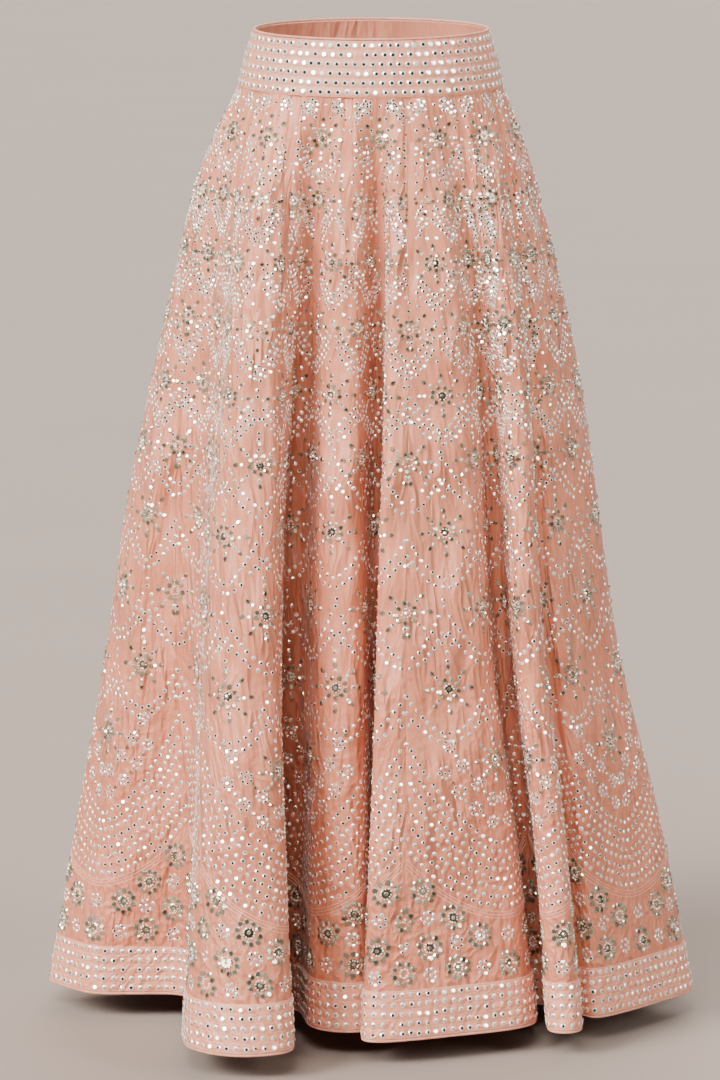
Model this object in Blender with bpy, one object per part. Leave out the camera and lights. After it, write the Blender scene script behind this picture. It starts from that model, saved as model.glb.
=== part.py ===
"""Lehenga skirt, worn: fourteen flared panels (kalis) on a shaped waistband, with a border and piping at the hem.

Metres, +Z up, front towards -Y. The origin is the middle of the waist opening, level with the band's top edge at
the side seams: the skirt hangs from there. Every cloth piece is a wall laid outwards from one surface, the kalis'
inner face. A point of it has a place round the skirt, counted in kalis from the front seam, and a drop below the
band.
"""

from collections import namedtuple
from math import pi, radians

import bpy
import numpy as np

# The cut: panels, lengths and cloth thicknesses.
KALI_COUNT = 14
BAND_HEIGHT = 0.056
SKIRT_DROP = 0.964
HEM_BORDER_HEIGHT = 0.049
KALI_CLOTH = 0.0015
BAND_CLOTH = 0.0026
BORDER_CLOTH = 0.0012
PIPING_RADIUS = 0.0013
SEAM_GAP = 0.0003
BAND_BOW = 0.001

# How it is worn: the waist slopes down to the front, and the slope dies out down the skirt.
WAIST_SLOPE = 0.075
SLOPE_REACH = 0.5
SLOPE_FADE = 1.5

# Where pieces meet round the skirt, in kalis from the front seam. The closure is in the seam at +X.
LEFT_SIDE_SEAM = 3
RIGHT_SIDE_SEAM = 10

# Fineness of the walls. Columns crowd towards tight bends: a bend of BEND_RADIUS doubles their number.
COLUMNS_PER_KALI = 12
BAND_COLUMNS_PER_KALI = 5
BEND_RADIUS = 0.03
MOST_CROWDING = 3
ROUTE_STEPS = 4096
SPLINE_STEPS = 60
SEAM_STEP = 1e-3
DROP_STEP = 1e-4

# The base outline: half widths to the wearer's right (-X) and left (+X), half depths to the front and back.
Section = namedtuple("Section", "drop right left front back")
BAND_TOP = Section(-BAND_HEIGHT, 0.1215, 0.1215, 0.093, 0.093)
SECTIONS = (
    Section(0.000, 0.1370, 0.1370, 0.108, 0.108),
    Section(0.030, 0.1510, 0.1480, 0.118, 0.120),
    Section(0.070, 0.1680, 0.1600, 0.128, 0.136),
    Section(0.120, 0.1830, 0.1720, 0.140, 0.152),
    Section(0.200, 0.1980, 0.1890, 0.156, 0.172),
    Section(0.320, 0.2200, 0.2090, 0.178, 0.192),
    Section(0.450, 0.2420, 0.2230, 0.202, 0.214),
    Section(0.600, 0.2590, 0.2410, 0.230, 0.238),
    Section(0.780, 0.2820, 0.2770, 0.262, 0.264),
    Section(SKIRT_DROP, 0.3050, 0.3050, 0.292, 0.286),
)
BORDER_TOP = SKIRT_DROP - HEM_BORDER_HEIGHT
WALL_DROPS = (2 * SEAM_GAP, 0.035, 0.085, 0.150, 0.235, 0.340, 0.470, 0.620, 0.780, BORDER_TOP, SKIRT_DROP)
BAND_ROWS = 4

# The folds at the hem, in order round the skirt from the front seam to the wearer's left. Each is an outward lobe
# between two shoulders, crowned by crown, and the valley after it, width across. start is where that valley begins
# at the band, in kalis from the front seam. grow says how late it deepens on its way down: 1 is evenly.
Fold = namedtuple("Fold", "name x1 y1 x2 y2 crown valley_x valley_y width start grow")
FOLDS = (
    Fold("front_centre", -0.004, -0.268, 0.166, -0.192, 0.012, 0.178, -0.098, 0.018, 0.55, 1.2),
    Fold("front_left", 0.189, -0.226, 0.217, -0.212, 0.012, 0.214, -0.146, 0.012, 2.15, 1.2),
    Fold("left_outer", 0.243, -0.157, 0.343, -0.020, 0.008, 0.280, 0.055, 0.020, 3.30, 1.4),
    Fold("left_back", 0.328, 0.080, 0.300, 0.142, 0.012, 0.224, 0.146, 0.024, 4.30, 1.3),
    Fold("back_left", 0.246, 0.215, 0.190, 0.252, 0.012, 0.120, 0.214, 0.026, 5.10, 1.2),
    Fold("back_centre_left", 0.105, 0.292, 0.036, 0.306, 0.012, -0.016, 0.242, 0.024, 6.10, 1.4),
    Fold("back_centre_right", -0.062, 0.300, -0.135, 0.283, 0.012, -0.138, 0.206, 0.026, 7.00, 1.3),
    Fold("back_right", -0.207, 0.244, -0.262, 0.196, 0.012, -0.228, 0.140, 0.024, 8.10, 1.2),
    Fold("right_back", -0.306, 0.135, -0.333, 0.082, 0.010, -0.286, 0.046, 0.020, 9.10, 1.3),
    Fold("right_outer", -0.346, 0.022, -0.295, -0.048, 0.006, -0.225, -0.052, 0.050, 10.60, 1.3),
    Fold("front_right", -0.181, -0.300, -0.085, -0.312, 0.026, -0.092, -0.124, 0.026, 12.45, 1.05),
    Fold("front_set_back", -0.058, -0.206, -0.008, -0.222, 0.010, 0.014, -0.124, 0.020, 13.50, 1.1),
)
FRONT_SEAM_X, FRONT_SEAM_Y = 0.034, -0.268
FRONT_SEAM_ANGLE = radians(15)
ROUNDING = 0.028
MEAN_ANGLE_SPREAD = 0.8
GROW_SPREAD = 0.3
DRIFT_SPREAD = 0.35
STEEPEN = 1.3

# Finishes: base colour and roughness.
Finish = namedtuple("Finish", "name colour roughness")
SILK = Finish("peach_silk", (0.72, 0.43, 0.34), 0.55)
BAND_SILK = Finish("band_silk", (0.76, 0.49, 0.40), 0.55)
BORDER_SILK = Finish("border_silk", (0.74, 0.46, 0.38), 0.55)
PIPING = Finish("piping", (0.78, 0.50, 0.43), 0.6)


def closed_spline(points, steps):
    """A smooth closed curve through the points, with steps places on each span."""
    curve = []
    for i, p1 in enumerate(points):
        p0, p2, p3 = points[i - 1], points[(i + 1) % len(points)], points[(i + 2) % len(points)]
        t1 = np.linalg.norm(p1 - p0) ** 0.5
        t2 = t1 + np.linalg.norm(p2 - p1) ** 0.5
        t3 = t2 + np.linalg.norm(p3 - p2) ** 0.5
        for t in np.linspace(t1, t2, steps, endpoint=False):
            a1 = p0 + (p1 - p0) * t / t1
            a2 = p1 + (p2 - p1) * (t - t1) / (t2 - t1)
            a3 = p2 + (p3 - p2) * (t - t2) / (t3 - t2)
            b1 = a1 + (a2 - a1) * t / t2
            b2 = a2 + (a3 - a2) * (t - t1) / (t3 - t1)
            curve.append(b1 + (b2 - b1) * (t - t1) / (t2 - t1))
    return np.array(curve)


def right_of(way):
    """The unit plan direction to the right of a way."""
    return np.array((way[1], -way[0])) / np.linalg.norm(way)


def fold_points():
    """Five plan points for each fold, with its grow: shoulder, crown, shoulder and the valley's two sides."""
    rows = []
    for fold, following in zip(FOLDS, FOLDS[1:] + FOLDS[:1]):
        first = np.array((fold.x1, fold.y1))
        second = np.array((fold.x2, fold.y2))
        third = np.array((following.x1, following.y1))
        valley = np.array((fold.valley_x, fold.valley_y))
        crown = (first + second) / 2 + right_of(second - first) * fold.crown
        across = right_of((second + third) / 2 - valley) * fold.width / -2
        for point in (first, crown, second, valley - across, valley + across):
            rows.append((*point, fold.grow))
    return np.array(rows)


def evenly_spaced(curve):
    """ROUTE_STEPS rows at equal distances round a closed plan curve, from the front seam, and its length."""
    closed = np.vstack((curve, curve[:1]))
    run = np.concatenate(([0.0], np.cumsum(np.hypot(*np.diff(closed[:, :2], axis=0).T))))
    start = run[np.hypot(curve[:, 0] - FRONT_SEAM_X, curve[:, 1] - FRONT_SEAM_Y).argmin()]
    places = (start + run[-1] * np.arange(ROUTE_STEPS) / ROUTE_STEPS) % run[-1]
    return np.stack([np.interp(places, run, column) for column in closed.T], axis=1), run[-1]


def oval(angle, section):
    """Plan points at angles from the front, on a curve of four quarter ellipses."""
    right, left, front, back = section
    x = np.where(np.sin(angle) > 0, left, right) * np.sin(angle)
    y = -np.where(np.cos(angle) > 0, front, back) * np.cos(angle)
    return np.stack((x, y), axis=-1)


def smoothed(values, spread):
    """Values round the skirt, softened over about spread kalis."""
    waves = np.fft.rfftfreq(ROUTE_STEPS, 1 / ROUTE_STEPS)
    softening = np.exp(-2 * (pi * waves * spread / KALI_COUNT) ** 2)
    return np.fft.irfft(np.fft.rfft(values) * softening, ROUTE_STEPS)


def between_rows(table, column, drop):
    """A column of the section table at any drop, on a smooth curve that never overshoots its rows."""
    at, value = table[:, 0], table[:, column]
    step = np.diff(at)
    slope = np.diff(value) / step
    lean = np.zeros(len(at))
    lean[0], lean[-1] = slope[0], slope[-1]
    lean[1:-1] = 2 * slope[:-1] * slope[1:] / (slope[:-1] + slope[1:])
    row = np.clip(np.searchsorted(at, drop, side="right") - 1, 0, len(at) - 2)
    t = (drop - at[row]) / step[row]
    start = (1 + 2 * t) * value[row] + t * step[row] * lean[row]
    end = (3 - 2 * t) * value[row + 1] - (1 - t) * step[row] * lean[row + 1]
    return (1 - t) ** 2 * start + t ** 2 * end


def facing(angle, section):
    """Unit plan directions out of an oval and round it."""
    right, left, front, back = section
    out = np.stack(
        (
            np.sin(angle) * np.where(np.cos(angle) > 0, front, back),
            -np.cos(angle) * np.where(np.sin(angle) > 0, left, right),
        ),
        axis=-1,
    )
    out /= np.linalg.norm(out, axis=-1, keepdims=True)
    return out, np.stack((-out[..., 1], out[..., 0]), axis=-1)


class Skirt:
    """The kalis' inner face and the band's, as points at any place and drop."""

    def __init__(self):
        self.table = np.array(SECTIONS)
        self.mean = np.column_stack((self.table[:, 0], self.table[:, 1:3].mean(axis=1)))
        self.turn = 2 * pi * np.arange(ROUTE_STEPS) / ROUTE_STEPS
        hem, self.hem_length = evenly_spaced(closed_spline(fold_points(), SPLINE_STEPS))
        self.hem = np.stack([smoothed(hem[:, axis], ROUNDING) for axis in (0, 1)], axis=1)
        self.grow = smoothed(hem[:, 2], GROW_SPREAD)
        self.drift = self.drift_to_the_waist()
        self.waist_angle = self.angles_at_the_waist()
        self.hem_angle = self.mean_angles_at_the_hem()
        out, along = facing(self.hem_angle, self.table[-1, 1:])
        offset = self.hem - oval(self.hem_angle, self.table[-1, 1:])
        self.fold = np.stack(((offset * out).sum(axis=1), (offset * along).sum(axis=1)), axis=1)

    def drift_to_the_waist(self):
        """How far along the cloth each fold moves between the band and the hem, by its place at the band."""
        starts = np.array([fold.start for fold in FOLDS])
        valleys = np.array([(fold.valley_x, fold.valley_y) for fold in FOLDS])
        nearest = np.linalg.norm(self.hem[:, None] - valleys, axis=2).argmin(axis=0)
        moved = nearest * KALI_COUNT / ROUTE_STEPS - starts
        moved -= KALI_COUNT * np.round(moved / KALI_COUNT)
        steps = np.arange(ROUTE_STEPS) * KALI_COUNT / ROUTE_STEPS
        return smoothed(np.interp(steps, starts, moved, period=KALI_COUNT), DRIFT_SPREAD)

    def angles_at_the_waist(self):
        """The angle of each step round the band, so that every kali has the same width there."""
        angle = np.linspace(0, 2 * pi, ROUTE_STEPS + 1)
        ring = oval(angle, SECTIONS[0][1:])
        run = np.concatenate(([0.0], np.cumsum(np.hypot(*np.diff(ring, axis=0).T))))
        self.waist_length = run[-1]
        places = np.interp(FRONT_SEAM_ANGLE, angle, run) + run[-1] * np.arange(ROUTE_STEPS) / ROUTE_STEPS
        turns = np.floor(places / run[-1])
        return np.interp(places - turns * run[-1], run, angle) + 2 * pi * turns

    def mean_angles_at_the_hem(self):
        """The angle that each step's fold has on the whole, which its valley and lobe lie either side of."""
        right, left, front, back = self.table[-1, 1:]
        x, y = self.hem.T
        angle = np.unwrap(np.arctan2(x / np.where(x > 0, left, right), -y / np.where(y < 0, front, back)))
        angle += 2 * pi * round((self.waist_angle[0] - angle[0]) / (2 * pi))
        return smoothed(angle - self.turn, MEAN_ANGLE_SPREAD) + self.turn

    def round_at(self, values, place):
        """Values stored for each step, read at a place in kalis."""
        step = (place / KALI_COUNT * ROUTE_STEPS) % ROUTE_STEPS
        low = np.floor(step).astype(int)
        part = (step - low).reshape(step.shape + (1,) * (values.ndim - 1))
        return values[low % ROUTE_STEPS] * (1 - part) + values[(low + 1) % ROUTE_STEPS] * part

    def angle_at(self, angles, place):
        """Angles stored for each step, read at a place in kalis, and growing with each turn."""
        return self.round_at(angles - self.turn, place) + 2 * pi * place / KALI_COUNT

    def spread(self, drop):
        """How far the skirt has opened, from 0 at the band to 1 at the hem."""
        low, high = self.mean[0, 1], self.mean[-1, 1]
        return (between_rows(self.mean, 1, drop) - low) / (high - low)

    def points(self, place, drop):
        """Points of the kalis' inner face, at places in kalis and drops below the band."""
        place, drop = np.broadcast_arrays(np.asarray(place, float), np.asarray(drop, float))
        open_share = self.spread(drop)
        waist, hem = self.angle_at(self.waist_angle, place), self.angle_at(self.hem_angle, place)
        angle = waist + (hem - waist) * open_share
        section = [between_rows(self.table, column, drop) for column in range(1, 5)]
        base, (out, along) = oval(angle, section), facing(angle, section)
        fold_place = place + self.round_at(self.drift, place) * (1 - open_share)
        fold = self.round_at(self.fold, fold_place)
        open_share = np.clip(open_share, 0, None)
        outwards = fold[..., 0] * open_share ** self.round_at(self.grow, fold_place)
        sideways = fold[..., 1] * open_share ** STEEPEN
        plan = base + out * outwards[..., None] + along * sideways[..., None]
        slope = WAIST_SLOPE * np.clip(1 - drop / SLOPE_REACH, 0, 1) ** SLOPE_FADE
        return np.concatenate((plan, (-BAND_HEIGHT - drop + slope * plan[..., 1])[..., None]), axis=-1)

    def band_points(self, place, drop):
        """Points of the band's inner face. Its drop runs from -BAND_HEIGHT at the top edge to 0."""
        place, drop = np.broadcast_arrays(np.asarray(place, float), np.asarray(drop, float))
        down = ((drop + BAND_HEIGHT) / BAND_HEIGHT)[..., None]
        sizes = np.array(SECTIONS[0][1:]) * down + np.array(BAND_TOP[1:]) * (1 - down)
        sizes += BAND_BOW * np.sin(pi * down)
        plan = oval(self.angle_at(self.waist_angle, place), np.moveaxis(sizes, -1, 0))
        return np.concatenate((plan, (-BAND_HEIGHT - drop + WAIST_SLOPE * plan[..., 1])[..., None]), axis=-1)


def outward(surface, place, drop):
    """Unit directions out of a surface, from small steps along it."""
    round_way = surface(place + SEAM_STEP, drop) - surface(place - SEAM_STEP, drop)
    down_way = surface(place, drop + DROP_STEP) - surface(place, drop - DROP_STEP)
    normal = np.cross(down_way, round_way)
    return normal / np.linalg.norm(normal, axis=-1, keepdims=True)


def wall_faces(rows, columns):
    """Triangles of a wall: outer face, inner face and the four edges. Inner points follow the outer ones."""
    index = np.arange(rows * columns).reshape(rows, columns)
    inner = rows * columns
    faces = []
    for r in range(rows - 1):
        for c in range(columns - 1):
            a, b, d, e = index[r, c], index[r, c + 1], index[r + 1, c], index[r + 1, c + 1]
            faces += [(a, d, b), (b, d, e)]
            faces += [(inner + a, inner + b, inner + d), (inner + b, inner + e, inner + d)]
    rim = [*index[0, ::-1], *index[1:, 0], *index[-1, 1:]]
    for p, q in zip(rim, rim[1:]):
        faces += [(q, p, inner + p), (q, inner + p, inner + q)]
    # The last side is split along the other diagonal, to lie evenly along the next wall's first side.
    last_side = index[::-1, -1]
    for p, q in zip(last_side, last_side[1:]):
        faces += [(q, p, inner + q), (p, inner + p, inner + q)]
    return faces


def laid(surface, place, drop, lift):
    """Points at a height above a surface."""
    return surface(place, drop) + outward(surface, place, drop) * lift


def parted(surface, places, drops, lift, thickness):
    """A grid of places with both ends drawn in by half a seam gap, on the tighter of the wall's faces."""
    place, drop = np.meshgrid(places, drops)
    for end, inwards in ((0, 1), (-1, -1)):
        at, down = place[:, end].copy(), drop[:, end]
        widths = [
            laid(surface, at + SEAM_STEP, down, height) - laid(surface, at - SEAM_STEP, down, height)
            for height in (lift, lift + thickness)
        ]
        per_kali = np.linalg.norm(widths, axis=-1).min(axis=0) / (2 * SEAM_STEP)
        place[:, end] += inwards * SEAM_GAP / 2 / per_kali
    return place, drop


def add_wall(name, surface, places, drops, lift, thickness, finish, collection):
    """A cloth wall: its inner face lies lift out from the surface, and its outer face thickness further."""
    place, drop = parted(surface, places, drops, lift, thickness)
    outer = laid(surface, place, drop, lift + thickness).reshape(-1, 3)
    inner = laid(surface, place, drop, lift).reshape(-1, 3)
    mesh = bpy.data.meshes.new(name)
    mesh.from_pydata(np.vstack((outer, inner)).tolist(), [], wall_faces(*place.shape))
    mesh.materials.append(material(finish))
    mesh.shade_smooth()
    mesh.set_sharp_from_angle(angle=radians(50))
    piece = bpy.data.objects.new(name, mesh)
    collection.objects.link(piece)
    return piece


def edge_line(surface, places, drop, thickness):
    """The middle of a wall's edge at one drop, from seam to seam."""
    place, drops = parted(surface, places, np.array((drop,)), 0, thickness)
    return laid(surface, place, drops, thickness / 2)[0]


def add_piping(name, centres, finish, collection):
    """A rolled strip along a row of points."""
    curve = bpy.data.curves.new(name, "CURVE")
    curve.dimensions = "3D"
    curve.bevel_depth = PIPING_RADIUS
    curve.bevel_resolution = 0
    curve.use_fill_caps = True
    spline = curve.splines.new("POLY")
    spline.points.add(len(centres) - 1)
    for point, centre in zip(spline.points, centres):
        point.co = (*centre, 1.0)
    curve.materials.append(material(finish))
    piece = bpy.data.objects.new(name, curve)
    collection.objects.link(piece)
    return piece


def material(finish):
    """One Principled material for each finish."""
    found = bpy.data.materials.get(finish.name)
    if found:
        return found
    made = bpy.data.materials.new(finish.name)
    made.use_nodes = True
    shader = made.node_tree.nodes["Principled BSDF"]
    shader.inputs["Base Color"].default_value = (*finish.colour, 1.0)
    shader.inputs["Roughness"].default_value = finish.roughness
    return made


def columns_between(skirt, first, last, count):
    """Places from one seam to another, count to a kali, closer together where the hem bends more tightly."""
    fine = np.linspace(first, last, ROUTE_STEPS)
    x, y, _ = skirt.points(fine, SKIRT_DROP).T
    heading = np.unwrap(np.arctan2(np.gradient(y), np.gradient(x)))
    bend = np.abs(np.gradient(heading, fine)) / (skirt.hem_length / KALI_COUNT)
    crowding = np.cumsum(1 + np.minimum(bend * BEND_RADIUS, MOST_CROWDING))
    crowding = (crowding - crowding[0]) / (crowding[-1] - crowding[0])
    return np.interp(np.linspace(0, 1, (last - first) * count + 1), crowding, fine)


def add_kalis(skirt, columns, collection):
    drops = np.array(WALL_DROPS)
    for number, places in enumerate(columns, start=1):
        add_wall(f"kali_{number:02d}", skirt.points, places, drops, 0, KALI_CLOTH, SILK, collection)


def add_waistband(skirt, halves, collection):
    drops = np.linspace(-BAND_HEIGHT, 0, BAND_ROWS)
    for side, (first, last) in halves.items():
        places = np.linspace(first, last, (last - first) * BAND_COLUMNS_PER_KALI + 1)
        add_wall(f"waistband_{side}", skirt.band_points, places, drops, 0, BAND_CLOTH, BAND_SILK, collection)
    around = np.linspace(LEFT_SIDE_SEAM, LEFT_SIDE_SEAM + KALI_COUNT, KALI_COUNT * BAND_COLUMNS_PER_KALI + 1)
    edge = edge_line(skirt.band_points, around, -BAND_HEIGHT, BAND_CLOTH)
    edge[:, 2] += PIPING_RADIUS + 2 * SEAM_GAP
    add_piping("waist_piping", edge, PIPING, collection)


def add_hem(skirt, columns, halves, collection):
    drops = np.array((BORDER_TOP, SKIRT_DROP))
    lift = KALI_CLOTH + SEAM_GAP
    for side, (first, last) in halves.items():
        kalis = range(first, last)
        turned = [columns[kali % KALI_COUNT] + kali // KALI_COUNT * KALI_COUNT for kali in kalis]
        places = np.unique(np.concatenate(turned).round(9))
        add_wall(f"hem_border_{side}", skirt.points, places, drops, lift, BORDER_CLOTH, BORDER_SILK, collection)
        edge = edge_line(skirt.points, places, SKIRT_DROP, lift + BORDER_CLOTH)
        edge[:, 2] -= PIPING_RADIUS + 2 * SEAM_GAP
        add_piping(f"hem_piping_{side}", edge, PIPING, collection)


def main():
    for leftover in list(bpy.data.objects):
        bpy.data.objects.remove(leftover)
    collection = bpy.data.collections.new("lehenga_skirt")
    bpy.context.scene.collection.children.link(collection)
    skirt = Skirt()
    columns = [columns_between(skirt, kali, kali + 1, COLUMNS_PER_KALI) for kali in range(KALI_COUNT)]
    halves = {
        "back": (LEFT_SIDE_SEAM, RIGHT_SIDE_SEAM),
        "front": (RIGHT_SIDE_SEAM, LEFT_SIDE_SEAM + KALI_COUNT),
    }
    add_kalis(skirt, columns, collection)
    add_waistband(skirt, halves, collection)
    add_hem(skirt, columns, halves, collection)


if __name__ == "__main__":
    main()
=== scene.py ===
"""Lehenga skirt, worn: silk kalis, waistband, hem border and piping, and the mirror work sewn to them.

Laid out as an add-on and run as a script. Metres, +Z up, front towards -Y. A place round the skirt is
counted in kalis from the front seam towards the wearer's left, and a drop is metres below the band.
"""

from collections import namedtuple
from math import pi, radians

import bpy
import numpy as np
from bpy.props import FloatProperty, FloatVectorProperty, IntProperty, PointerProperty
from bpy.types import Operator, Panel, PropertyGroup
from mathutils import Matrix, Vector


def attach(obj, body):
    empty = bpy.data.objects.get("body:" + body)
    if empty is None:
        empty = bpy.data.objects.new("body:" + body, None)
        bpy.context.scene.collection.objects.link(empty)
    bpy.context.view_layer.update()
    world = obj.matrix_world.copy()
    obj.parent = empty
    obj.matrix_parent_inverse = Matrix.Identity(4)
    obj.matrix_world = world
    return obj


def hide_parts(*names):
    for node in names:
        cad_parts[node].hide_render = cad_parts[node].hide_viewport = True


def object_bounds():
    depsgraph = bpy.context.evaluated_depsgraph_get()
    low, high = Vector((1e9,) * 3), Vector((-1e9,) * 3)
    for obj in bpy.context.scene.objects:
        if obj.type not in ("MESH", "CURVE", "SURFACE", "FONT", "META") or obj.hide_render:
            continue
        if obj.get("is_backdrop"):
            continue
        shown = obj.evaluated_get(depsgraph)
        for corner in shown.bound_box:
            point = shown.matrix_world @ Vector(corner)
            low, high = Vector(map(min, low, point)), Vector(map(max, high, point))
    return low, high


bl_info = {
    "name": "Lehenga skirt",
    "version": (1, 0),
    "blender": (4, 5, 0),
    "location": "View3D > Sidebar > Lehenga",
    "description": "Makes a worn lehenga skirt of silk kalis with mirror work",
    "category": "Object",
}

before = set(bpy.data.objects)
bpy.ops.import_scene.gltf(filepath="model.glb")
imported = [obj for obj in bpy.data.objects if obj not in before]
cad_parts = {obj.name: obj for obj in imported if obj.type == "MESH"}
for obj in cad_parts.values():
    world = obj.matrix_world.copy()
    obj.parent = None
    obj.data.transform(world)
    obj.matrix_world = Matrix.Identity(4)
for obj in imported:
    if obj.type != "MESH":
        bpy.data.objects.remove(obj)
CAD_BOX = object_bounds()


def in_units(kind, units, rows):
    """A table written in whole numbers, as named tuples. units says how many of each make one."""
    return [kind(*(value / unit for value, unit in zip(row, units))) for row in rows]


# The cut: panels, lengths and cloth thicknesses.
KALI_COUNT = 14
BAND_HEIGHT = 0.056
SKIRT_DROP = 0.964
HEM_BORDER_HEIGHT = 0.049
KALI_CLOTH = 0.0015
BAND_CLOTH = 0.0026
BORDER_CLOTH = 0.0012
PIPING_RADIUS = 0.0013
SEAM_GAP = 0.0003
BAND_BOW = 0.001
BORDER_TOP = SKIRT_DROP - HEM_BORDER_HEIGHT

# How it is worn: the waist slopes down to the front, and the slope dies out down the skirt.
WAIST_SLOPE = 0.075
SLOPE_REACH = 0.5
SLOPE_FADE = 1.5
LEFT_SIDE_SEAM = 3
RIGHT_SIDE_SEAM = 10
HALVES = {
    "back": (LEFT_SIDE_SEAM, RIGHT_SIDE_SEAM),
    "front": (RIGHT_SIDE_SEAM, LEFT_SIDE_SEAM + KALI_COUNT),
}

# The base outline, in mm: half widths to the wearer's right (-X) and left (+X), half depths front and back.
Section = namedtuple("Section", "drop right left front back")
BAND_TOP = Section(-BAND_HEIGHT, 0.1215, 0.1215, 0.093, 0.093)
SECTIONS = in_units(Section, [1000] * 5, (
    (0, 137, 137, 108, 108),
    (30, 151, 148, 118, 120),
    (70, 168, 160, 128, 136),
    (120, 183, 172, 140, 152),
    (200, 198, 189, 156, 172),
    (320, 220, 209, 178, 192),
    (450, 242, 223, 202, 214),
    (600, 259, 241, 230, 238),
    (780, 282, 277, 262, 264),
    (1000 * SKIRT_DROP, 305, 305, 292, 286),
))

# The folds at the hem, in order round the skirt from the front seam to the wearer's left. Each is an outward
# lobe between two shoulders, crowned by crown, and the valley after it, width across. start is where that
# valley begins at the band, in kalis. grow says how late it deepens on its way down: 1 is evenly. The table
# is in mm, and its last two columns in hundredths.
Fold = namedtuple("Fold", "x1 y1 x2 y2 crown valley_x valley_y width start grow")
FOLDS = in_units(Fold, [1000] * 8 + [100] * 2, (
    (-4, -268, 166, -192, 12, 178, -98, 18, 55, 120),
    (189, -226, 217, -212, 12, 214, -146, 12, 215, 120),
    (243, -157, 343, -20, 8, 280, 55, 20, 330, 140),
    (328, 80, 300, 142, 12, 224, 146, 24, 430, 130),
    (246, 215, 190, 252, 12, 120, 214, 26, 510, 120),
    (105, 292, 36, 306, 12, -16, 242, 24, 610, 140),
    (-62, 300, -135, 283, 12, -138, 206, 26, 700, 130),
    (-207, 244, -262, 196, 12, -228, 140, 24, 810, 120),
    (-306, 135, -333, 82, 10, -286, 46, 20, 910, 130),
    (-346, 22, -295, -48, 6, -225, -52, 50, 1060, 130),
    (-181, -300, -85, -312, 26, -92, -124, 26, 1245, 105),
    (-58, -206, -8, -222, 10, 14, -124, 20, 1350, 110),
))
FRONT_SEAM_X, FRONT_SEAM_Y = 0.034, -0.268
FRONT_SEAM_ANGLE = radians(15)

# Over how many kalis the hem, its mean angle, grow and drift are softened, how late folds lean sideways, and
# how deep valleys and creases are where painted shade begins on the cloth, and where it is full.
ROUNDING = 0.028
MEAN_ANGLE_SPREAD = 0.8
GROW_SPREAD = 0.3
DRIFT_SPREAD = 0.35
STEEPEN = 1.3
FOLD_SHADE_DEPTHS = (0.085, 0.165)
CREASE_SHADE_FULL = 0.0055

# Fineness. Columns crowd towards tight bends: a bend of BEND_RADIUS doubles their number. A wall's inner
# face has one point for every INNER_STEP of the outer one.
ROUTE_STEPS = 4096
SPLINE_STEPS = 60
SEAM_STEP = 1e-3
DROP_STEP = 1e-4
BEND_RADIUS = 0.03
MOST_CROWDING = 3
INNER_STEP = 4
PANEL_COLUMNS = 56
PANEL_ROWS = 84
BAND_COLUMNS = 16
BAND_ROWS = 28
BORDER_COLUMNS = 44
BORDER_ROWS = 16
PIPING_SIDES = 8
SHARP_ANGLE = 50

# Main creases. A crease runs from its top to its bottom, in mm, from place and on by drift, in
# hundredths of a kali. Its width, and its depth outwards for a ridge and inwards for a trough, are in tenths
# of a mm.
Crease = namedtuple("Crease", "place top bottom drift width depth")
CREASES = in_units(Crease, (100, 1000, 1000, 100, 10000, 10000), (
    (1093, -40, 200, -10, 50, -50), (1105, -10, 160, -5, 60, 22), (1192, -60, 230, -4, 55, -65),
    (1204, -20, 200, 0, 70, 28), (1293, -50, 210, 2, 50, -50), (1304, -10, 170, 2, 60, 20),
    (1345, 30, 260, 5, 80, -35), (3, -40, 260, 2, 50, -38), (36, 60, 280, 6, 80, 24),
    (102, -40, 220, 6, 55, -55), (114, 0, 180, 6, 65, 22), (155, 40, 260, 6, 80, -30),
    (201, -40, 180, 6, 55, -50), (214, 0, 150, 6, 60, 22), (260, 50, 230, 4, 70, -26),
    (1150, 90, 330, 2, 80, -30), (1250, 80, 300, -2, 80, -30), (1222, 240, 420, 3, 60, -15),
    (1255, 160, 330, 2, 55, 14), (1272, 440, 640, -3, 70, -15), (1238, 560, 760, 2, 60, 14),
    (1214, 660, 880, 1, 60, -17), (1140, 300, 520, 2, 80, 16), (1162, 500, 740, -4, 70, -18),
    (1070, 180, 400, 3, 70, -15), (1045, 480, 720, 2, 80, 15), (1330, 300, 470, 3, 60, 14),
    (1355, 520, 700, -2, 60, -15), (1382, 260, 440, 2, 50, -14), (16, 330, 520, 1, 50, -16),
    (31, 420, 600, 3, 55, 13), (50, 360, 560, 2, 60, -14), (24, 600, 780, 0, 60, -14),
    (62, 620, 820, -3, 80, 15), (42, 800, 930, 10, 80, -16), (12, 830, 950, 12, 70, 14),
    (130, 420, 640, 2, 60, -15), (172, 250, 500, 3, 70, 14), (225, 330, 560, 2, 80, -17),
    (270, 540, 800, -2, 90, 16), (335, 20, 160, 3, 60, -18), (370, 260, 480, 2, 80, 15),
    (420, 100, 330, 3, 70, -16), (475, 420, 700, -2, 80, 16), (510, 0, 120, 0, 50, -20),
    (552, 300, 520, 3, 70, -15), (605, 0, 170, 2, 50, -18), (640, 540, 800, 2, 80, 16),
    (698, 10, 130, 0, 50, -19), (733, 240, 460, -2, 70, 14), (780, 560, 820, 2, 80, -16),
    (812, 20, 160, 2, 60, -17), (860, 340, 600, 2, 70, 15), (915, 0, 140, 0, 50, -18),
    (966, 280, 520, -3, 80, -16), (1008, 560, 820, 2, 70, 15),
))
SEAM_DIP = 0.0007
SEAM_DIP_WIDTH = 0.0022
PUFF_DEPTH = 0.0006

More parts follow.
